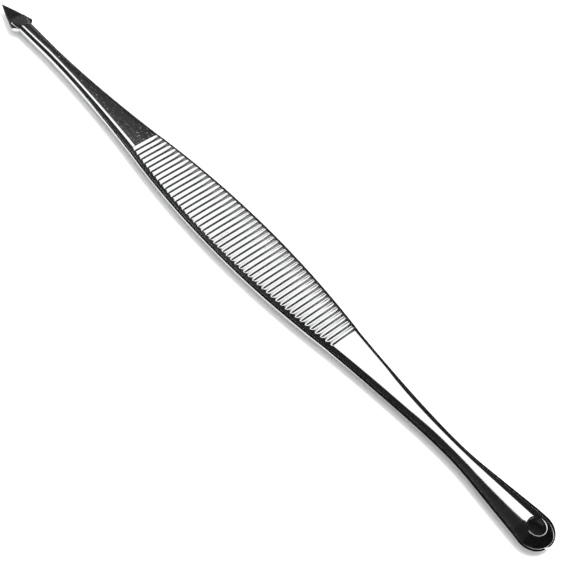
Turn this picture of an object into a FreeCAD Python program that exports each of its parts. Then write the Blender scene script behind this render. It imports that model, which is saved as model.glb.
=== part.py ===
"""Blackhead extractor: a steel hand tool with a lance at one end and a perforated spoon at the other.

Three pieces lie in one line along X: the lance, the ribbed grip and the spoon.
The lance and the spoon each have a flat tang that seats in a blind socket in the end of the grip.
The origin is under the middle of the tool, on the surface that the grip lies on.
+X points from the lance to the spoon and +Z points up, away from that surface.
All sizes are in millimetres.
"""
import FreeCAD, Part
import math
import os

# Lengths along the tool
lance_reach = 39.9
spoon_reach = 42.6
rib_count = 48
rib_pitch = 1.0

# Grip, with leaning ribs on a crowned top; face_stock is milled off its top and underside
grip_width = 9.9
grip_end_width = 6.3
grip_thickness = 2.5
grip_crown_radius = 75.0
rib_depth = 0.12
rib_land = 0.14
groove_floor = 0.12
rib_lean = 0.7
rib_end_slope = 30.0
face_stock = 0.01

# Lance shank, from the front seam to the head
lance_root_width = 6.3
lance_root_thickness = 2.4
shank_width = 2.46
shank_thickness = 1.9
shank_crown = 0.02
shank_narrow_reach = 25.7
shank_taper_power = 1.7
head_root_width = 2.6
head_root_thickness = 1.85

# Lance head, an arrow-shaped blade with ground edges
head_length = 6.1
head_width = 4.4
head_shoulder = 0.9
head_edge_bulge = 0.08
head_corner_radius = 0.25
blade_thickness = 0.7
blade_tip_thickness = 0.3
blade_edge_thickness = 0.1
blade_bevel_slope = 0.9
ramp_length = 2.4
ramp_end_width = 3.4
ramp_end_thickness = 0.5

# Spoon shank, from the rear seam to the flanks of the bowl
spoon_root_width = 6.3
spoon_root_thickness = 2.4
spoon_root_crown = 0.1
spoon_taper_power = 1.5
neck_reach = 22.0
neck_width = 2.94
neck_thickness = 2.3
neck_blend = 0.6
flank_slope = 0.12

# Spoon bowl
bowl_width = 6.2
bowl_thickness = 2.7
bowl_dome = 0.85
bowl_run = 1.8
scoop_width = 4.0
dome_wall = 0.95
hole_diameter = 2.5
hole_rim_radius = 0.3

# Tangs and their sockets
tang_width = 2.4
tang_thickness = 1.0
tang_length = 8.0
tang_corner_radius = 0.3
socket_clearance = 0.03
socket_end_gap = 0.3

# Places that follow from the sizes
grip_length = rib_count * rib_pitch
overall_length = lance_reach + grip_length + spoon_reach
tip_x = -overall_length / 2
front_seam_x = tip_x + lance_reach
rear_seam_x = front_seam_x + grip_length
end_x = overall_length / 2
mid_z = grip_thickness / 2
head_root_x = tip_x + head_length + head_shoulder
neck_x = rear_seam_x + neck_reach
bowl_x = end_x - bowl_width / 2
dome_x = bowl_x - bowl_run
bowl_base_z = mid_z - neck_thickness / 2

# Spans of the lofts, strips across the ribs and the tolerance for finding edges
grip_spans = 12
rib_strips = 4
shank_spans = 9
flank_spans = 7
edge_match = 1e-6


def point(x, y, z):
    return FreeCAD.Vector(x, y, z)


def mirrored(shape):
    """Copy of a shape on the other side of the plane Y = 0."""
    return shape.mirror(point(0, 0, 0), point(0, 1, 0))


def eased(start, end, share, power):
    """Value that leaves start steeply and settles on end, for a share from 0 to 1."""
    return end + (start - end) * (1 - share) ** power


def smooth_larger(a, b, blend):
    """The larger of two values, rounded off where they differ by less than the blend."""
    return max(a, b) + max(blend - abs(a - b), 0) ** 2 / (4 * blend)


def crown_radius_on(half_width, side_radius, crown):
    """Radius of a top arc that runs on from the round sides and rises above them by the crown."""
    flat = half_width - side_radius
    return side_radius + (flat ** 2 + crown ** 2) / (2 * crown)


def crowned_side_radius(width, thickness, crown_radius):
    """Radius of round sides that touch both a flat underside and a top arc of the given radius."""
    half = width / 2
    linear = 4 * crown_radius - 2 * half - 2 * thickness
    constant = half ** 2 + thickness ** 2 - 2 * crown_radius * thickness
    return (math.sqrt(linear ** 2 - 4 * constant) - linear) / 2


def section(x, width, thickness, side_radius, base_z):
    """Closed bar section, alike on both sides of Y = 0: flat underside, round sides and crowned top."""
    flat = width / 2 - side_radius
    crown = thickness - 2 * side_radius
    crown_radius = crown_radius_on(width / 2, side_radius, crown)
    lean = math.asin(flat / (crown_radius - side_radius))
    turn = (math.pi - lean) / 2
    side_z = base_z + side_radius

    def pair(y, z):
        return point(x, y, z), point(x, -y, z)

    foot, near_foot = pair(flat, base_z)
    side, near_side = pair(flat + side_radius * math.sin(turn), side_z - side_radius * math.cos(turn))
    meet, near_meet = pair(flat + side_radius * math.sin(lean), side_z + side_radius * math.cos(lean))
    curves = (
        Part.LineSegment(near_foot, foot),
        Part.Arc(foot, side, meet),
        Part.Arc(meet, point(x, 0, base_z + thickness), near_meet),
        Part.Arc(near_meet, near_side, near_foot),
    )
    return Part.Wire([curve.toShape() for curve in curves])


def shank_section(x, width, thickness, crown):
    """Bar section on the middle plane of the tool, with a top that rises by the given crown."""
    return section(x, width, thickness, (thickness - crown) / 2, mid_z - thickness / 2)


def tang(seam_x, direction, clearance, extra_length):
    """Flat bar with rounded long edges that runs from a seam into the grip."""
    length = tang_length + extra_length
    width = tang_width + 2 * clearance
    thickness = tang_thickness + 2 * clearance
    start_x = seam_x if direction > 0 else seam_x - length
    bar = Part.makeBox(length, width, thickness, point(start_x, -width / 2, mid_z - thickness / 2))
    long_edges = [edge for edge in bar.Edges if abs(edge.BoundBox.XLength - length) < edge_match]
    return bar.makeFillet(tang_corner_radius + clearance, long_edges)


def grip_width_at(x):
    """Width of the leaf-shaped grip: both long edges are arcs of one radius."""
    half_length = grip_length / 2
    swell = (grip_width - grip_end_width) / 2
    edge_radius = (half_length ** 2 + swell ** 2) / (2 * swell)
    from_middle = x - (front_seam_x + rear_seam_x) / 2
    return grip_width - 2 * (edge_radius - math.sqrt(edge_radius ** 2 - from_middle ** 2))


def crown_drop(y):
    """How far the crowned top of the grip has fallen at a distance from its middle line."""
    return grip_crown_radius - math.sqrt(grip_crown_radius ** 2 - y ** 2)


def grip_section(x):
    """Stock section of the grip: round sides that run on into sloping flanks beside the ribs."""
    half = grip_width_at(x) / 2
    slope = math.radians(rib_end_slope)
    lower_radius = mid_z + face_stock
    shoulder_z = grip_thickness - rib_depth - crown_drop(half)
    upper_radius = (shoulder_z - mid_z) / math.cos(slope)
    lower_turn = math.pi / 4
    upper_turn = (math.pi / 2 + slope) / 2
    top_z = grip_thickness + face_stock
    shoulder_y = half - upper_radius * (1 - math.sin(slope))

    def pair(y, z):
        return point(x, y, z), point(x, -y, z)

    foot, near_foot = pair(half - lower_radius, -face_stock)
    lower, near_lower = pair(
        half - lower_radius * (1 - math.sin(lower_turn)),
        mid_z - lower_radius * math.cos(lower_turn),
    )
    side, near_side = pair(half, mid_z)
    upper, near_upper = pair(
        half - upper_radius * (1 - math.sin(upper_turn)),
        mid_z + upper_radius * math.cos(upper_turn),
    )
    shoulder, near_shoulder = pair(shoulder_y, shoulder_z)
    brow, near_brow = pair(shoulder_y - (top_z - shoulder_z) / math.tan(slope), top_z)
    curves = (
        Part.LineSegment(near_foot, foot),
        Part.Arc(foot, lower, side),
        Part.Arc(side, upper, shoulder),
        Part.LineSegment(shoulder, brow),
        Part.LineSegment(brow, near_brow),
        Part.LineSegment(near_brow, near_shoulder),
        Part.Arc(near_shoulder, near_upper, near_side),
        Part.Arc(near_side, near_lower, near_foot),
    )
    return Part.Wire([curve.toShape() for curve in curves])


def rib_comb():
    """Cutters side by side that leave leaning ribs on a crowned top, one strip of the width each."""
    crest_z = grip_thickness
    floor_z = grip_thickness - rib_depth
    roof_z = 2 * grip_thickness
    gentle_side = rib_lean * (rib_pitch - rib_land - groove_floor)
    outline = [point(front_seam_x, 0, roof_z), point(front_seam_x, 0, crest_z)]
    for rib in range(rib_count):
        land_end_x = front_seam_x + rib * rib_pitch + rib_land / 2
        floor_x = land_end_x + gentle_side
        outline.append(point(land_end_x, 0, crest_z))
        outline.append(point(floor_x, 0, floor_z))
        outline.append(point(floor_x + groove_floor, 0, floor_z))
        outline.append(point(land_end_x + rib_pitch - rib_land, 0, crest_z))
    outline.append(point(rear_seam_x, 0, crest_z))
    outline.append(point(rear_seam_x, 0, roof_z))
    outline.append(outline[0])
    profile = Part.Face(Part.makePolygon(outline))
    cutters = []
    for strip in range(rib_strips):
        start_y = grip_width * (strip / rib_strips - 0.5)
        end_y = start_y + grip_width / rib_strips
        start = profile.translated(point(0, start_y, -crown_drop(start_y)))
        cutters.append(start.extrude(point(0, end_y - start_y, crown_drop(start_y) - crown_drop(end_y))))
    return cutters


def build_grip():
    """Leaf-shaped grip with ribs that lean towards the lance, and a blind socket in each end."""
    stations = [front_seam_x + grip_length * span / grip_spans for span in range(grip_spans + 1)]
    stock = Part.makeLoft([grip_section(x) for x in stations], True, True)
    below = point(front_seam_x, -grip_width, -grip_thickness)
    underside = Part.makeBox(grip_length, 2 * grip_width, grip_thickness, below)
    grip = stock.cut(rib_comb()).cut(underside)
    for seam_x, direction in ((front_seam_x, 1), (rear_seam_x, -1)):
        grip = grip.cut(tang(seam_x, direction, socket_clearance, socket_end_gap))
    return grip


def blade_plan():
    """Upright prism on the arrow-shaped outline of the head, with rounded barbs."""
    corner_x = tip_x + head_length
    half_width = head_width / 2
    half_root = head_root_width / 2
    edge_middle = point((tip_x + corner_x) / 2, half_width / 2 + head_edge_bulge, 0)
    far_edge = Part.Arc(point(tip_x, 0, 0), edge_middle, point(corner_x, half_width, 0)).toShape()
    back = Part.makePolygon([
        point(corner_x, half_width, 0),
        point(head_root_x, half_root, 0),
        point(head_root_x, -half_root, 0),
        point(corner_x, -half_width, 0),
    ])
    outline = Part.Face(Part.Wire([far_edge] + back.Edges + [mirrored(far_edge)]))
    plan = outline.extrude(point(0, 0, grip_thickness))
    barbs = []
    for edge in plan.Edges:
        upright = edge.BoundBox.ZLength > grip_thickness / 2
        if upright and abs(edge.BoundBox.Center.x - corner_x) < edge_match:
            barbs.append(edge)
    return plan.makeFillet(head_corner_radius, barbs)


def blade_wedge():
    """Plate across the head that grows thicker from the tip to the root."""
    tip_half = blade_tip_thickness / 2
    root_half = blade_thickness / 2
    side = Part.makePolygon([
        point(tip_x, -head_width, mid_z - tip_half),
        point(tip_x, -head_width, mid_z + tip_half),
        point(head_root_x, -head_width, mid_z + root_half),
        point(head_root_x, -head_width, mid_z - root_half),
        point(tip_x, -head_width, mid_z - tip_half),
    ])
    return Part.Face(side).extrude(point(0, 2 * head_width, 0))


def grinding_wheel():
    """Prism that grinds the bevel on the upper side of the far cutting edge."""
    half_width = head_width / 2
    edge_length = math.hypot(head_length, half_width)
    along = point(head_length / edge_length, half_width / edge_length, 0)
    inward = point(along.y, -along.x, 0)
    up = point(0, 0, 1)
    edge_point = point(tip_x, 0, mid_z + blade_edge_thickness / 2) - along * edge_length
    outer = edge_point - inward * head_width - up * (blade_bevel_slope * head_width)
    inner = edge_point + inward * head_width + up * (blade_bevel_slope * head_width)
    roof = outer + up * (3 * blade_bevel_slope * head_width)
    return Part.Face(Part.makePolygon([outer, inner, roof, outer])).extrude(along * (3 * edge_length))


def build_blade():
    """Arrow-shaped blade, thinner at the tip, with a bevel on both sides of each cutting edge."""
    blade = blade_plan().common(blade_wedge())
    wheel = grinding_wheel()
    middle = point(0, 0, mid_z)
    for side in (wheel, mirrored(wheel)):
        underside = side.mirror(middle, point(0, 0, 1))
        blade = blade.cut(side).cut(underside)
    return blade


def build_lance():
    """Arrow-headed lance: blade, ramp, round-sided shank and tang."""
    wires = []
    for station in range(shank_spans + 1):
        share = station / shank_spans
        x = front_seam_x - shank_narrow_reach * share
        width = eased(lance_root_width, shank_width, share, shank_taper_power)
        thickness = eased(lance_root_thickness, shank_thickness, share, shank_taper_power)
        wires.append(shank_section(x, width, thickness, shank_crown))
    head_root = shank_section(head_root_x, head_root_width, head_root_thickness, shank_crown)
    shank = Part.makeLoft(wires + [head_root], True, True)
    ramp_end_x = head_root_x - ramp_length
    ramp_end = shank_section(ramp_end_x, ramp_end_width, ramp_end_thickness, shank_crown)
    ramp = Part.makeLoft([head_root, ramp_end], True, True)
    return shank.fuse([ramp, build_blade(), tang(front_seam_x, 1, 0, 0)]).removeSplitter()


def flank_width_at(x):
    """Width of the spoon beyond the flare: straight flanks that touch the round end of the bowl."""
    radius = bowl_width / 2
    turn = math.atan(flank_slope)
    touch_x = bowl_x - radius * math.sin(turn)
    if x < touch_x:
        return 2 * (radius * math.cos(turn) - flank_slope * (touch_x - x))
    return 2 * math.sqrt(radius ** 2 - (x - bowl_x) ** 2)


def spoon_width_at(x):
    """Width of the spoon: a taper up to the neck, blended into the flanks of the bowl."""
    share = min((x - rear_seam_x) / neck_reach, 1)
    taper = eased(spoon_root_width, neck_width, share, spoon_taper_power)
    return smooth_larger(taper, flank_width_at(x), neck_blend)


def bowl_side_radius_at(x):
    """Radius of the round sides of the bowl where its width varies under a dome of one radius."""
    side_radius = (bowl_thickness - bowl_dome) / 2
    dome_radius = crown_radius_on(bowl_width / 2, side_radius, bowl_dome)
    return crowned_side_radius(spoon_width_at(x), bowl_thickness, dome_radius)


def spoon_section(x):
    """Section of the spoon: a flat-topped bar up to the neck, then a dome that swells up to the bowl."""
    width = spoon_width_at(x)
    if x < neck_x:
        share = (x - rear_seam_x) / neck_reach
        thickness = eased(spoon_root_thickness, neck_thickness, share, spoon_taper_power)
        return shank_section(x, width, thickness, spoon_root_crown)
    if x > dome_x:
        return section(x, width, bowl_thickness, bowl_side_radius_at(x), bowl_base_z)
    share = (x - neck_x) / (dome_x - neck_x)
    swell = share ** 2 * (3 - 2 * share)
    thickness = neck_thickness + (bowl_thickness - neck_thickness) * swell
    dome = bowl_thickness - 2 * bowl_side_radius_at(dome_x)
    crown = spoon_root_crown + (dome - spoon_root_crown) * swell
    return section(x, width, thickness, (thickness - crown) / 2, bowl_base_z)


def build_spoon():
    """Perforated spoon: tang, tapered shank, neck and a domed bowl with a round hole."""
    stations = [rear_seam_x + neck_reach * span / shank_spans for span in range(shank_spans)]
    for span in range(flank_spans + 1):
        stations.append(neck_x + (dome_x - neck_x) * span / flank_spans)
    bowl_section = spoon_section(bowl_x)
    shank = Part.makeLoft([spoon_section(x) for x in stations] + [bowl_section], True, True)
    far_corner = point(0, 0, bowl_base_z - bowl_thickness)
    far_side = Part.makeBox(end_x, bowl_width, 3 * bowl_thickness, far_corner)
    far_half = Part.Face(bowl_section).common(far_side).Faces[0]
    round_end = far_half.revolve(point(bowl_x, 0, 0), point(0, 0, 1), -180)
    spoon = shank.fuse(round_end).removeSplitter()

    scoop_depth = bowl_thickness - dome_wall
    scoop_radius = ((scoop_width / 2) ** 2 + scoop_depth ** 2) / (2 * scoop_depth)
    scoop = Part.makeSphere(scoop_radius, point(bowl_x, 0, bowl_base_z + scoop_depth - scoop_radius))
    hole = Part.makeCylinder(hole_diameter / 2, 2 * bowl_thickness, point(bowl_x, 0, bowl_base_z))
    spoon = spoon.cut(scoop).cut(hole)
    rim = []
    for edge in spoon.Edges:
        box = edge.BoundBox
        off_axis = math.hypot(box.Center.x - bowl_x, box.Center.y)
        if off_axis < hole_diameter / 2 and box.ZMin > bowl_base_z + scoop_depth:
            rim.append(edge)
    spoon = spoon.makeFillet(hole_rim_radius, rim)
    return spoon.fuse(tang(rear_seam_x, -1, 0, 0)).removeSplitter()


os.makedirs("parts", exist_ok=True)
for name, build in (("lance", build_lance), ("ribbed_grip", build_grip), ("spoon", build_spoon)):
    shape = build()
    print(name, "valid" if shape.isValid() else "not valid", len(shape.Solids), round(shape.Volume, 3))
    shape.exportStep("parts/" + name + ".step")
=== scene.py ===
"""Looks of the blackhead extractor: polished steel lance, ribbed grip and perforated spoon.

Sizes below are millimetres in the frame of the solids; meshes are written in metres.
"""
import math

import bmesh
import bpy
import numpy as np
from mathutils import Matrix, Vector


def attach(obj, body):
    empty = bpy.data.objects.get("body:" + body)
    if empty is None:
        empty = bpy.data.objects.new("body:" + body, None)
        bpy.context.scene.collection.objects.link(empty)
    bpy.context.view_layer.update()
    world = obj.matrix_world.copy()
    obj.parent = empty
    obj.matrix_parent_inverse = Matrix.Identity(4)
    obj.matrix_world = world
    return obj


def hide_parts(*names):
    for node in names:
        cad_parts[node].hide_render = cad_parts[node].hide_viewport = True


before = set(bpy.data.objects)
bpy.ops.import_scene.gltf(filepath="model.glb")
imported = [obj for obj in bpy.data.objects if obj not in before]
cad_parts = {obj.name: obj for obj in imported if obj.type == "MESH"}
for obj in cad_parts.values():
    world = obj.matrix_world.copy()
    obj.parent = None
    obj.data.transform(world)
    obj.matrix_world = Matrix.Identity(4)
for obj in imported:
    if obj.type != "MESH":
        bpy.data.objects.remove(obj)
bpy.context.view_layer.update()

MM = 0.001

# Lengths along the tool
lance_reach = 39.9
spoon_reach = 42.6
rib_count = 48
rib_pitch = 1.0

# Grip
grip_width = 9.9
grip_end_width = 6.3
grip_thickness = 2.5
grip_crown_radius = 75.0

# Ribs: places in the profile are shares of the pitch, and the valley lies further forward at the far ends
rib_depth = 0.12
rib_shift = 0.05
rib_land_end = 0.05
rib_near_valley = 0.62
rib_far_valley = 0.38
rib_far_power = 3.0
rib_softness = 0.06
rib_end_slope = 40.0
rib_near_blend = 0.08
rib_far_blend = 0.26

# Ribs are shallower to the rear: worn from this place on, down to this share of their depth
rib_wear_x = 0.0
rib_wear = 0.88

# Lance shank and head
lance_root_width = 6.3
lance_root_thickness = 2.4
shank_width = 2.46
shank_thickness = 1.9
shank_crown = 0.02
shank_narrow_reach = 25.7
shank_taper_power = 1.7
head_root_width = 2.6
head_root_thickness = 1.85
head_length = 6.1
head_width = 4.4
head_shoulder = 0.9
head_edge_bulge = 0.08
barb_blend = 0.18
blade_thickness = 0.7
blade_tip_thickness = 0.3
blade_edge_thickness = 0.1
blade_least_rise = 0.02
blade_bevel_slope = 0.9
bevel_blend = 0.02
ramp_length = 2.4
ramp_end_width = 3.4
ramp_end_thickness = 0.5
ramp_blend = 0.12
ramp_blend_growth = 4.0
ramp_overrun = 1.15

# Spoon
spoon_root_width = 6.3
spoon_root_thickness = 2.4
spoon_root_crown = 0.1
spoon_taper_power = 1.5
neck_reach = 22.0
neck_width = 2.94
neck_thickness = 2.3
neck_blend = 0.6
flank_slope = 0.12
bowl_width = 6.2
bowl_thickness = 2.7
bowl_dome = 0.85
bowl_run = 1.8
scoop_width = 4.0
dome_wall = 0.95
hole_diameter = 2.5
hole_rim_radius = 0.3

# Places that follow from the sizes
tip_x = -(lance_reach + rib_count * rib_pitch + spoon_reach) / 2
front_seam_x = tip_x + lance_reach
rear_seam_x = front_seam_x + rib_count * rib_pitch
end_x = rear_seam_x + spoon_reach
mid_z = grip_thickness / 2
head_root_x = tip_x + head_length + head_shoulder
neck_x = rear_seam_x + neck_reach
bowl_x = end_x - bowl_width / 2
dome_x = bowl_x - bowl_run
bowl_base_z = mid_z - neck_thickness / 2

# The bowl's mesh, which runs around the hole, takes over from the shank's mesh here
bowl_mesh_run = 3.2
join_x = bowl_x - bowl_mesh_run

# Columns of points across every section: flat part and one round side
FLAT_STEPS = 36
ROUND_STEPS = 26
GRIP_ROUND_STEPS = 13

# Rings along one rib, and finer steps for smoothing its profile
RIB_STEPS = 16
RIB_FINE = 25

# Rings along the lance and the spoon's shank, and rays around the bowl
HEAD_STEPS = 150
SHANK_STEPS = 170
SPOON_STEPS = 210
BOWL_STEPS = 180

# Points on one ray of the bowl
WALL_STEPS = 5
RIM_STEPS = 12
TOP_STEPS = 56
UNDER_STEPS = 30
SCOOP_STEPS = 14

# Halvings in the search for the bowl's outline along a ray
HALVINGS = 60

# Small distances, in millimetres, and in metres for cleaning the meshes
LEAST_CROWN = 1e-4
EDGE_MATCH = 1e-6
MERGE_DISTANCE = 2e-7
COLLAPSE_DISTANCE = 1e-8


def soft_min(a, b, k):
    return (a + b - np.sqrt((a - b) ** 2 + k * k)) / 2


def soft_max(a, b, k):
    return (a + b + np.sqrt((a - b) ** 2 + k * k)) / 2


def eased(start, end, share, power):
    return end + (start - end) * (1 - min(max(share, 0.0), 1.0)) ** power


class Bar:
    """Bar section: flat underside, round sides and crowned top."""

    def __init__(self, width, thickness, side_radius, base):
        self.half = width / 2
        self.radius = side_radius
        self.base = base
        self.thickness = thickness
        self.flat = self.half - side_radius
        rise = thickness - side_radius
        spare = max(thickness - 2 * side_radius, LEAST_CROWN)
        self.crown = (self.flat ** 2 + rise ** 2 - side_radius ** 2) / (2 * spare)
        lean = math.atan2(self.flat, self.crown - rise)
        self.meet = self.flat + side_radius * math.sin(lean)

    def columns(self):
        turn = np.linspace(0, math.pi / 2, ROUND_STEPS + 1)
        side = self.flat + self.radius * np.sin(turn)
        middle = np.linspace(-self.flat, self.flat, FLAT_STEPS + 1)
        return np.concatenate([-side[::-1], middle[1:-1], side])

    def top(self, y):
        y = np.abs(np.asarray(y, float))
        out = np.clip(y - self.flat, 0, self.radius)
        side = self.base + self.radius + np.sqrt(np.maximum(self.radius ** 2 - out ** 2, 0))
        inner = np.minimum(y, self.meet)
        crown = self.base + self.thickness - self.crown + np.sqrt(self.crown ** 2 - inner ** 2)
        return np.where(y < self.meet, crown, side)

    def bottom(self, y):
        y = np.abs(np.asarray(y, float))
        out = np.clip(y - self.flat, 0, self.radius)
        return self.base + self.radius - np.sqrt(np.maximum(self.radius ** 2 - out ** 2, 0))


def ring(x, y, top, bottom):
    """Closed loop of points at one x: along the top from the near side, back along the underside."""
    xs = np.full(len(y), x)
    upper = np.stack([xs, y, top], 1)
    lower = np.stack([xs, y, bottom], 1)[::-1]
    return np.concatenate([upper, lower])


class Builder:
    """Collects points and faces of one mesh."""

    def __init__(self):
        self.points = []
        self.faces = []

    def add(self, points):
        start = len(self.points)
        self.points.extend(map(tuple, points))
        return start

    def tube(self, rings, first_cap, last_cap):
        count = len(rings[0])
        starts = [self.add(loop) for loop in rings]
        for a, b in zip(starts, starts[1:]):
            for k in range(count):
                n = (k + 1) % count
                self.faces.append((a + k, a + n, b + n, b + k))
        if first_cap:
            self.faces.append(tuple(range(starts[0], starts[0] + count)))
        if last_cap:
            self.faces.append(tuple(range(starts[-1] + count - 1, starts[-1] - 1, -1)))

    def finish(self, name, sharp_angle):
        mesh = bpy.data.meshes.new(name)
        mesh.from_pydata([tuple(c * MM for c in p) for p in self.points], [], self.faces)
        bm = bmesh.new()
        bm.from_mesh(mesh)
        bmesh.ops.remove_doubles(bm, verts=bm.verts, dist=MERGE_DISTANCE)
        bmesh.ops.dissolve_degenerate(bm, edges=bm.edges, dist=COLLAPSE_DISTANCE)
        bmesh.ops.recalc_face_normals(bm, faces=bm.faces)
        for face in bm.faces:
            face.smooth = True
        bm.to_mesh(mesh)
        bm.free()
        mesh.set_sharp_from_angle(angle=math.radians(sharp_angle))
        obj = bpy.data.objects.new(name, mesh)
        bpy.context.scene.collection.objects.link(obj)
        return obj


# Grip
def grip_half_width(x):
    half_length = (rear_seam_x - front_seam_x) / 2
    swell = (grip_width - grip_end_width) / 2
    edge_radius = (half_length ** 2 + swell ** 2) / (2 * swell)
    from_middle = x - (front_seam_x + rear_seam_x) / 2
    return grip_width / 2 - edge_radius + math.sqrt(edge_radius ** 2 - from_middle ** 2)


def crown_drop(y):
    return grip_crown_radius - np.sqrt(grip_crown_radius ** 2 - y ** 2)


def rib_table(valley):
    """One pitch of the rib profile: land, long slope, short slope; 0 on the crest and 1 in the valley."""
    phase = np.arange(RIB_STEPS * RIB_FINE) / (RIB_STEPS * RIB_FINE)
    wave = np.interp((phase - rib_shift) % 1, [0, rib_land_end, valley, 1], [0, 0, 1, 0])
    offset = np.minimum(phase, 1 - phase)
    kernel = np.exp(-0.5 * (offset / rib_softness) ** 2)
    kernel /= kernel.sum()
    return np.real(np.fft.ifft(np.fft.fft(wave) * np.fft.fft(kernel)))[::RIB_FINE]


near_ribs = rib_table(rib_near_valley)
far_ribs = rib_table(rib_far_valley)


def grip_ring(x, step):
    """Section of the grip: round sides, sloping flanks and a crowned top with ribs across it."""
    half = grip_half_width(x)
    slope = math.radians(rib_end_slope)
    shoulder_z = grip_thickness - rib_depth - float(crown_drop(half))
    radius = (shoulder_z - mid_z) / math.cos(slope)
    shoulder_y = half - radius * (1 - math.sin(slope))
    turn = np.linspace(0, math.pi / 2, GRIP_ROUND_STEPS + 1)
    side = half - radius * (1 - np.sin(turn))
    middle = np.linspace(-side[0], side[0], FLAT_STEPS + 1)
    y = np.concatenate([-side[::-1], middle[1:-1], side])
    out = np.abs(y)
    arc = mid_z + np.sqrt(np.maximum(radius ** 2 - np.maximum(out - half + radius, 0) ** 2, 0))
    flank = shoulder_z + (shoulder_y - out) * math.tan(slope)
    stock = np.where(out > shoulder_y, arc, flank)
    share = (y / half + 1) / 2
    depth = rib_depth * np.interp(x, [rib_wear_x, rear_seam_x], [1, rib_wear])
    far = share ** rib_far_power
    phase = step % RIB_STEPS
    drop = depth * (near_ribs[phase] * (1 - far) + far_ribs[phase] * far)
    blend = rib_near_blend * (1 - share) + rib_far_blend * share
    top = soft_min(stock, grip_thickness - drop - crown_drop(y), blend)
    top = np.where(out > half - EDGE_MATCH, mid_z, top)
    under = mid_z - np.sqrt(np.maximum(mid_z ** 2 - np.maximum(out - half + mid_z, 0) ** 2, 0))
    return ring(x, y, top, under)


def make_grip():
    count = rib_count * RIB_STEPS
    rings = []
    for step in range(count + 1):
        x = front_seam_x + (rear_seam_x - front_seam_x) * step / count
        rings.append(grip_ring(x, step))
    shape = Builder()
    shape.tube(rings, first_cap=True, last_cap=True)
    return shape.finish("grip_ribbed_steel", sharp_angle=50)


# Lance
def shank_bar(x):
    share = (front_seam_x - x) / shank_narrow_reach
    if share <= 1:
        width = eased(lance_root_width, shank_width, share, shank_taper_power)
        thickness = eased(lance_root_thickness, shank_thickness, share, shank_taper_power)
    else:
        narrow_x = front_seam_x - shank_narrow_reach
        beyond = (narrow_x - x) / (narrow_x - head_root_x)
        width = shank_width + (head_root_width - shank_width) * beyond
        thickness = shank_thickness + (head_root_thickness - shank_thickness) * beyond
    return Bar(width, thickness, (thickness - shank_crown) / 2, mid_z - thickness / 2)


def head_edge(x):
    """Distance of the blade's slightly bulged edge from the middle line."""
    share = (x - tip_x) / head_length
    return head_width / 2 * share + head_edge_bulge * 4 * share * (1 - share)


def head_half_width(x):
    corner_x = tip_x + head_length
    share = (x - tip_x) / head_length
    edge = head_edge(x)
    back = head_root_width / 2 + (head_root_x - x) * (head_width - head_root_width) / 2 / head_shoulder
    blend = barb_blend * min(1.0, share)
    width = soft_min(edge, back, blend) if x < head_root_x else head_root_width / 2
    return max(min(width, edge), 0.0) if x < corner_x else max(width, head_root_width / 2)


def head_top(x, y):
    """Height above the middle plane: bevelled blade joined to the ramp of the shank."""
    along = (x - tip_x) / (head_root_x - tip_x)
    flat = (blade_tip_thickness + (blade_thickness - blade_tip_thickness) * along) / 2
    tilt = math.cos(math.atan2(head_width / 2, head_length))
    inset = np.maximum(head_edge(x) - np.abs(y), 0)
    bevel = blade_edge_thickness / 2 + blade_bevel_slope * inset * tilt
    blade = soft_min(np.full(len(y), flat), bevel, bevel_blend)
    ramp_share = (head_root_x - x) / ramp_length
    if ramp_share > ramp_overrun:
        return np.maximum(blade, blade_least_rise)
    width = head_root_width + (ramp_end_width - head_root_width) * ramp_share
    thickness = head_root_thickness + (ramp_end_thickness - head_root_thickness) * ramp_share
    bar = Bar(width, thickness, (thickness - shank_crown) / 2, -thickness / 2)
    inside = np.abs(y) <= bar.half
    ramp = np.where(inside, bar.top(y), 0.0)
    blend = ramp_blend * min(1.0, ramp_blend_growth * max(ramp_share, 0.0))
    joined = soft_max(blade, ramp, blend)
    return np.maximum(joined, blade_least_rise)


def make_lance():
    rings = []
    root = shank_bar(head_root_x)
    spread = root.columns() / root.half
    for step in range(HEAD_STEPS):
        x = tip_x + (head_root_x - tip_x) * step / HEAD_STEPS
        y = spread * head_half_width(x)
        up = head_top(x, y)
        rings.append(ring(x, y, mid_z + up, mid_z - up))
    for step in range(SHANK_STEPS + 1):
        x = head_root_x + (front_seam_x - head_root_x) * step / SHANK_STEPS
        bar = shank_bar(x)
        y = bar.columns()
        rings.append(ring(x, y, bar.top(y), bar.bottom(y)))
    shape = Builder()
    shape.tube(rings, first_cap=True, last_cap=True)
    return shape.finish("lance_steel", sharp_angle=40)


# Spoon
def spoon_half_width(x):
    share = (x - rear_seam_x) / neck_reach
    taper = eased(spoon_root_width, neck_width, share, spoon_taper_power)
    radius = bowl_width / 2
    turn = math.atan(flank_slope)
    touch_x = bowl_x - radius * math.sin(turn)
    if x < touch_x:
        flank = 2 * (radius * math.cos(turn) - flank_slope * (touch_x - x))
    else:
        flank = 2 * math.sqrt(max(radius ** 2 - (x - bowl_x) ** 2, 0))
    return (max(taper, flank) + max(neck_blend - abs(taper - flank), 0) ** 2 / (4 * neck_blend)) / 2


def bowl_side_radius_at(x):
    """Radius of the round sides where the width varies under a dome of one radius."""
    side_radius = (bowl_thickness - bowl_dome) / 2
    flat = bowl_width / 2 - side_radius
    dome_radius = side_radius + (flat ** 2 + bowl_dome ** 2) / (2 * bowl_dome)
    half = spoon_half_width(x)
    linear = 4 * dome_radius - 2 * half - 2 * bowl_thickness
    constant = half ** 2 + bowl_thickness ** 2 - 2 * dome_radius * bowl_thickness
    return (math.sqrt(linear ** 2 - 4 * constant) - linear) / 2


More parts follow.
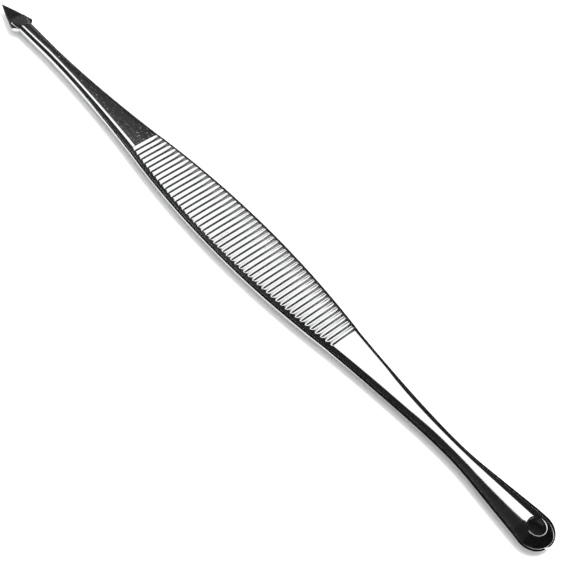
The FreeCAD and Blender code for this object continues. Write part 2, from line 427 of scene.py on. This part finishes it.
def spoon_bar(x):
    x = min(x, bowl_x)
    width = 2 * spoon_half_width(x)
    if x < neck_x:
        share = (x - rear_seam_x) / neck_reach
        thickness = eased(spoon_root_thickness, neck_thickness, share, spoon_taper_power)
        return Bar(width, thickness, (thickness - spoon_root_crown) / 2, mid_z - thickness / 2)
    if x > dome_x:
        return Bar(width, bowl_thickness, bowl_side_radius_at(x), bowl_base_z)
    share = (x - neck_x) / (dome_x - neck_x)
    swell = share * share * (3 - 2 * share)
    thickness = neck_thickness + (bowl_thickness - neck_thickness) * swell
    dome = bowl_thickness - 2 * bowl_side_radius_at(dome_x)
    crown = spoon_root_crown + (dome - spoon_root_crown) * swell
    return Bar(width, thickness, (thickness - crown) / 2, bowl_base_z)


def bowl_heights(x, y):
    """Top and underside of the bowl at one point of its plan."""
    if x > bowl_x:
        bar = spoon_bar(bowl_x)
        y = math.hypot(x - bowl_x, y)
    else:
        bar = spoon_bar(x)
    return float(bar.top(y)), float(bar.bottom(y))


def reach_to_outline(angle):
    if math.cos(angle) >= 0:
        return bowl_width / 2
    low, high = 0.0, 2 * bowl_width
    for _ in range(HALVINGS):
        middle = (low + high) / 2
        x = bowl_x + middle * math.cos(angle)
        if abs(middle * math.sin(angle)) < spoon_half_width(x):
            low = middle
        else:
            high = middle
    return low


def bowl_ray(angle, reach):
    """Points on one half-plane through the axis of the hole: wall, rim, top, underside and scoop."""
    hole = hole_diameter / 2
    rim = hole_rim_radius
    scoop_depth = bowl_thickness - dome_wall
    scoop_radius = ((scoop_width / 2) ** 2 + scoop_depth ** 2) / (2 * scoop_depth)
    c, s = math.cos(angle), math.sin(angle)

    def spot(r, z):
        return bowl_x + r * c, r * s, z

    def scoop_z(r):
        return bowl_base_z + scoop_depth - scoop_radius + math.sqrt(scoop_radius ** 2 - r ** 2)

    def top_z(r):
        return bowl_heights(bowl_x + r * c, r * s)[0]

    points = []
    wall_low = scoop_z(hole)
    wall_high = top_z(hole + rim) - rim
    for step in range(WALL_STEPS):
        points.append(spot(hole, wall_low + (wall_high - wall_low) * step / WALL_STEPS))
    for step in range(RIM_STEPS):
        turn = math.pi / 2 * step / RIM_STEPS
        r = hole + rim * (1 - math.cos(turn))
        blend = step / RIM_STEPS
        level = top_z(hole + rim) * (1 - blend) + top_z(r) * blend
        points.append(spot(r, level - rim * (1 - math.sin(turn))))
    for step in range(TOP_STEPS + 1):
        r = hole + rim + (reach - hole - rim) * math.sin(math.pi / 2 * step / TOP_STEPS)
        points.append(spot(r, top_z(r)))
    split = len(points)
    edge = scoop_width / 2
    for step in range(UNDER_STEPS + 1):
        r = edge + (reach - edge) * math.cos(math.pi / 2 * step / UNDER_STEPS)
        points.append(spot(r, bowl_heights(bowl_x + r * c, r * s)[1]))
    for step in range(1, SCOOP_STEPS):
        r = edge + (hole - edge) * step / SCOOP_STEPS
        points.append(spot(r, scoop_z(r)))
    return points, split


def make_spoon():
    shape = Builder()
    rings = []
    for step in range(SPOON_STEPS + 1):
        x = rear_seam_x + (join_x - rear_seam_x) * step / SPOON_STEPS
        bar = spoon_bar(x)
        y = bar.columns()
        rings.append(ring(x, y, bar.top(y), bar.bottom(y)))
    shape.tube(rings, first_cap=True, last_cap=False)
    columns = spoon_bar(join_x).columns()
    back = join_x - bowl_x
    rays = [(math.atan2(y, back), math.hypot(y, back)) for y in columns[::-1]]
    corner = math.atan2(columns[-1], back)
    for step in range(1, BOWL_STEPS):
        angle = -corner + 2 * corner * step / BOWL_STEPS
        rays.append((angle, reach_to_outline(angle)))
    starts = []
    for angle, reach in rays:
        points, split = bowl_ray(angle, reach)
        starts.append(shape.add(points))
    count = len(points)
    for a, b in zip(starts, starts[1:] + starts[:1]):
        for k in range(count):
            if k == split - 1:
                continue
            n = (k + 1) % count
            shape.faces.append((a + k, a + n, b + n, b + k))
    return shape.finish("spoon_steel", sharp_angle=50)


# Materials
SPECK_EDGE = 0.06


def link(tree, source, output, target, socket):
    tree.links.new(source.outputs[output], target.inputs[socket])


def node(tree, kind, **inputs):
    made = tree.nodes.new(kind)
    for key, value in inputs.items():
        made.inputs[key].default_value = value
    return made


def stretched_noise(tree, coords, scale, detail):
    mapping = node(tree, "ShaderNodeMapping", Scale=scale)
    link(tree, coords, "Object", mapping, "Vector")
    noise = node(tree, "ShaderNodeTexNoise", Scale=1.0, Detail=detail, Roughness=0.6)
    link(tree, mapping, "Vector", noise, "Vector")
    return noise


def ramp(tree, source, output, stops):
    made = tree.nodes.new("ShaderNodeValToRGB")
    elements = made.color_ramp.elements
    elements[0].position, elements[0].color = stops[0][0], (*stops[0][1], 1)
    elements[1].position, elements[1].color = stops[-1][0], (*stops[-1][1], 1)
    for place, colour in stops[1:-1]:
        elements.new(place).color = (*colour, 1)
    link(tree, source, output, made, "Fac")
    return made


def grey(value):
    return (value, value, value)


def steel(name, streak_scale, streak_depth, speck_level, speck_rough, rough_low, rough_high):
    """Polished steel with drawn polishing lines, faint cloudiness and small dull specks."""
    material = bpy.data.materials.new(name)
    material.use_nodes = True
    tree = material.node_tree
    shader = tree.nodes["Principled BSDF"]
    shader.inputs["Metallic"].default_value = 1.0
    coords = tree.nodes.new("ShaderNodeTexCoord")
    streaks = stretched_noise(tree, coords, streak_scale, detail=6.0)
    clouds = stretched_noise(tree, coords, (140, 260, 260), detail=4.0)
    specks = stretched_noise(tree, coords, (2600, 2600, 2600), detail=2.0)
    tint = ramp(tree, clouds, "Fac", [(0.3, (0.585, 0.59, 0.595)), (0.7, (0.635, 0.637, 0.64))])
    link(tree, tint, "Color", shader, "Base Color")
    line_rough = ramp(tree, streaks, "Fac", [(0.35, grey(rough_low)), (0.75, grey(rough_high))])
    speck_stops = [(speck_level, grey(0.0)), (speck_level + SPECK_EDGE, grey(speck_rough))]
    dull = ramp(tree, specks, "Fac", speck_stops)
    total = tree.nodes.new("ShaderNodeMath")
    total.operation = "ADD"
    link(tree, line_rough, "Color", total, 0)
    link(tree, dull, "Color", total, 1)
    link(tree, total, "Value", shader, "Roughness")
    bump = node(tree, "ShaderNodeBump", Strength=1.0, Distance=streak_depth)
    link(tree, streaks, "Fac", bump, "Height")
    link(tree, bump, "Normal", shader, "Normal")
    return material


pieces = {
    "lance": make_lance(),
    "ribbed_grip": make_grip(),
    "spoon": make_spoon(),
}
finishes = {
    "lance": steel("lance_polished_steel", streak_scale=(60, 1500, 1500), streak_depth=4e-7,
                   speck_level=0.62, speck_rough=0.18, rough_low=0.05, rough_high=0.12),
    "ribbed_grip": steel("grip_polished_steel", streak_scale=(5000, 250, 900), streak_depth=8e-7,
                         speck_level=0.66, speck_rough=0.25, rough_low=0.10, rough_high=0.21),
    "spoon": steel("spoon_polished_steel", streak_scale=(60, 1400, 1400), streak_depth=5e-7,
                   speck_level=0.70, speck_rough=0.20, rough_low=0.04, rough_high=0.10),
}
for name, piece in pieces.items():
    piece.data.materials.append(finishes[name])
    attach(piece, "root")
    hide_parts(name)

# Studio sizes, in metres; the softbox's plan is in shares of its height
studio = 9.0
wall_height = 7.0
wall_foot = 0.02
softbox_height = 4.0
softbox_plan = [(-0.97, -0.30), (-0.30, -0.25), (-0.178, 0.0), (0.05, 0.62), (0.0, 1.2), (-0.41, 1.2)]
softbox_glow = 1.7
# Grey card hidden from the camera, painting a grey reflection in the metal
corner_reflection_card = [(-8.9, 6.0, 4.5), (-8.9, 8.9, 4.5), (-7.6, 8.9, 6.9), (-7.6, 6.0, 6.9)]

# Painted reflections: grey of the dark walls and side sheets that only the metal sees, by share of the way
# from the left wall to the right one
reflection_greys = [
    (0.0, 0.065), (0.015, 0.065), (0.03, 0.02), (0.12, 0.022), (0.2, 0.05), (0.34, 0.03), (0.5, 0.008),
]

# Painted reflections: dark sheets beside the tool that only the metal sees, darkening the floor it reflects,
# in millimetres; a strip is (x, width of bare paper along the outline)
dark_sheet_span = 80
dark_sheet_reach = 400.0
dark_sheet_z = 0.2
near_strip = [(-65, 36.0), (-50, 10.0), (-38, 3.0), (-25, 1.6), (20, 1.6), (32, 0.7), (65, 0.5)]
far_strip = [(0, 0.6)]
# Dark disc of painted shade on the floor, seen through the spoon's hole, in millimetres
hole_shade_radius = 2.2
hole_shade_z = 0.02
hole_shade_steps = 48


# Stage materials
def matte(name, roughness):
    material = bpy.data.materials.new(name)
    material.use_nodes = True
    shader = material.node_tree.nodes["Principled BSDF"]
    shader.inputs["Roughness"].default_value = roughness
    shader.inputs["Specular IOR Level"].default_value = 0.0
    return material


def grained(name, roughness, grain_scale, low, high):
    """Dull paper, or the dark disc of painted shade under the hole, with a faint grain."""
    material = matte(name, roughness)
    tree = material.node_tree
    coords = tree.nodes.new("ShaderNodeTexCoord")
    grain = stretched_noise(tree, coords, (grain_scale, grain_scale, grain_scale), detail=4.0)
    tint = ramp(tree, grain, "Fac", [(0.3, grey(low)), (0.7, grey(high))])
    link(tree, tint, "Color", tree.nodes["Principled BSDF"], "Base Color")
    return material


def graded_reflection_sheet(name, greys):
    """Dull sheet whose grey changes along X, painting darker and lighter reflections in the metal."""
    material = matte(name, 1.0)
    tree = material.node_tree
    coords = tree.nodes.new("ShaderNodeTexCoord")
    axes = tree.nodes.new("ShaderNodeSeparateXYZ")
    link(tree, coords, "Object", axes, "Vector")
    place = tree.nodes.new("ShaderNodeMapRange")
    place.inputs["From Min"].default_value = -studio
    place.inputs["From Max"].default_value = studio
    link(tree, axes, "X", place, "Value")
    tint = ramp(tree, place, "Result", [(share, grey(value)) for share, value in greys])
    link(tree, tint, "Color", tree.nodes["Principled BSDF"], "Base Color")
    return material


def plain_cloth(name, value):
    material = matte(name, 1.0)
    material.node_tree.nodes["Principled BSDF"].inputs["Base Color"].default_value = (*grey(value), 1)
    return material


def glowing_cloth(name, strength):
    material = bpy.data.materials.new(name)
    material.use_nodes = True
    tree = material.node_tree
    tree.nodes.remove(tree.nodes["Principled BSDF"])
    emitter = node(tree, "ShaderNodeEmission", Strength=strength)
    link(tree, emitter, "Emission", tree.nodes["Material Output"], "Surface")
    return material


# Floor, softbox, and dark sheets that only the metal sees, painting its dark reflections
def stage_mesh(name, points, faces):
    mesh = bpy.data.meshes.new(name)
    mesh.from_pydata(points, [], faces)
    obj = bpy.data.objects.new(name, mesh)
    bpy.context.scene.collection.objects.link(obj)
    return obj


def panel(name, corners):
    return stage_mesh(name, corners, [tuple(range(len(corners)))])


def level_panel(name, height):
    signs = [(-1, -1), (1, -1), (1, 1), (-1, 1)]
    return panel(name, [(studio * x, studio * y, height) for x, y in signs])


def wall(name, start, end):
    foot = [(*start, wall_foot), (*end, wall_foot)]
    head = [(*end, wall_height), (*start, wall_height)]
    return panel(name, foot + head)


def outline_half_width(x):
    if x < head_root_x:
        return head_half_width(x) if x > tip_x else 0.0
    if x < front_seam_x:
        return shank_bar(x).half
    if x < rear_seam_x:
        return grip_half_width(x)
    return spoon_half_width(x) if x < end_x else 0.0


def reflection_darkening_sheet(name, side, strip):
    """Dark sheet beside the tool, seen only in the metal, that paints the reflected floor dark and leaves a
    strip of white paper along its outline.
    """
    strip_xs, strip_widths = zip(*strip)
    xs = np.linspace(-dark_sheet_span, dark_sheet_span, 2 * dark_sheet_span + 1)
    inner = [(x, side * (outline_half_width(x) + np.interp(x, strip_xs, strip_widths)), dark_sheet_z) for x in xs]
    outer = [(x, side * dark_sheet_reach, dark_sheet_z) for x in xs]
    points = [tuple(c * MM for c in p) for p in inner + outer]
    count = len(xs)
    return stage_mesh(name, points, [(k, k + 1, count + k + 1, count + k) for k in range(count - 1)])


def hole_shade_disc(name):
    """Dark disc on the floor under the spoon's hole, painting shade seen through the hole."""
    corners = []
    for step in range(hole_shade_steps):
        angle = 2 * math.pi * step / hole_shade_steps
        x = bowl_x + hole_shade_radius * math.cos(angle)
        y = hole_shade_radius * math.sin(angle)
        corners.append((x * MM, y * MM, hole_shade_z * MM))
    return panel(name, corners)


floor = level_panel("floor", 0.0)
white_paper = grained("white_paper", roughness=0.9, grain_scale=900, low=0.885, high=0.90)
floor.data.materials.append(white_paper)

softbox_corners = [(x * softbox_height, y * softbox_height, softbox_height) for x, y in softbox_plan]
softbox = panel("softbox", softbox_corners)
softbox.data.materials.append(glowing_cloth("softbox_cloth", softbox_glow))
softbox.visible_camera = False
softbox.visible_shadow = False

# Painted reflections: grey of the walls and side sheets, graded along X
dark_reflection_sheet = graded_reflection_sheet("dark_reflection_sheet", reflection_greys)
# Painted reflection: grey of the corner card
grey_reflection_card = plain_cloth("grey_reflection_card", 0.4)
# Walls, card and side sheets are hidden from the camera, from shadows and from diffuse light: they only
# paint reflections in the metal.
flags = [
    wall("flag_left", (-studio, -studio), (-studio, studio)),
    wall("flag_right", (studio, -studio), (studio, studio)),
    wall("flag_near", (-studio, -studio), (studio, -studio)),
    wall("flag_far", (-studio, studio), (studio, studio)),
    level_panel("flag_top", wall_height),
    panel("reflection_card_corner", corner_reflection_card),
    reflection_darkening_sheet("dark_reflection_near", -1, near_strip),
    reflection_darkening_sheet("dark_reflection_far", 1, far_strip),
]
for flag in flags:
    flag.data.materials.append(grey_reflection_card if flag.name == "reflection_card_corner" else dark_reflection_sheet)
    flag.visible_camera = False
    flag.visible_shadow = False
    flag.visible_diffuse = False

# Painted shade seen through the spoon's hole
hole_shade = hole_shade_disc("hole_shade_under_hole")
grey_hole_shade = grained("grey_hole_shade", roughness=1.0, grain_scale=1500, low=0.05, high=0.08)
hole_shade.data.materials.append(grey_hole_shade)

# Lamp and white surroundings
lamp = bpy.data.lights.new("key_lamp", "SUN")
lamp.energy = 2.65
lamp.angle = math.radians(25)
key = bpy.data.objects.new("key_lamp", lamp)
key.rotation_euler = (math.radians(-26), 0, 0)
key.visible_glossy = False
bpy.context.scene.collection.objects.link(key)

world = bpy.data.worlds.new("studio")
bpy.context.scene.world = world
world.use_nodes = True
world_tree = world.node_tree
background = world_tree.nodes["Background"]
background.inputs["Color"].default_value = (1, 1, 1, 1)
background.inputs["Strength"].default_value = 1.0

# Camera
camera_place = (0.086286, -0.103655, 0.168087)
camera_right = Vector((0.661327, 0.735295, 0.148284))
camera_up = Vector((-0.654136, 0.468595, 0.593739))
camera_back = Vector((0.367088, -0.489653, 0.790877))
camera_data = bpy.data.cameras.new("camera")
camera_data.sensor_fit = "VERTICAL"
camera_data.sensor_height = 36.0
camera_data.sensor_width = 36.0
camera_data.lens = 86.917
camera_data.clip_start = 0.005
camera_data.clip_end = 60.0
camera = bpy.data.objects.new("camera", camera_data)
bpy.context.scene.collection.objects.link(camera)
turn = Matrix((camera_right, camera_up, camera_back)).transposed()
camera.matrix_world = Matrix.Translation(camera_place) @ turn.to_4x4()
bpy.context.scene.camera = camera
bpy.context.scene.view_settings.view_transform = "Standard"
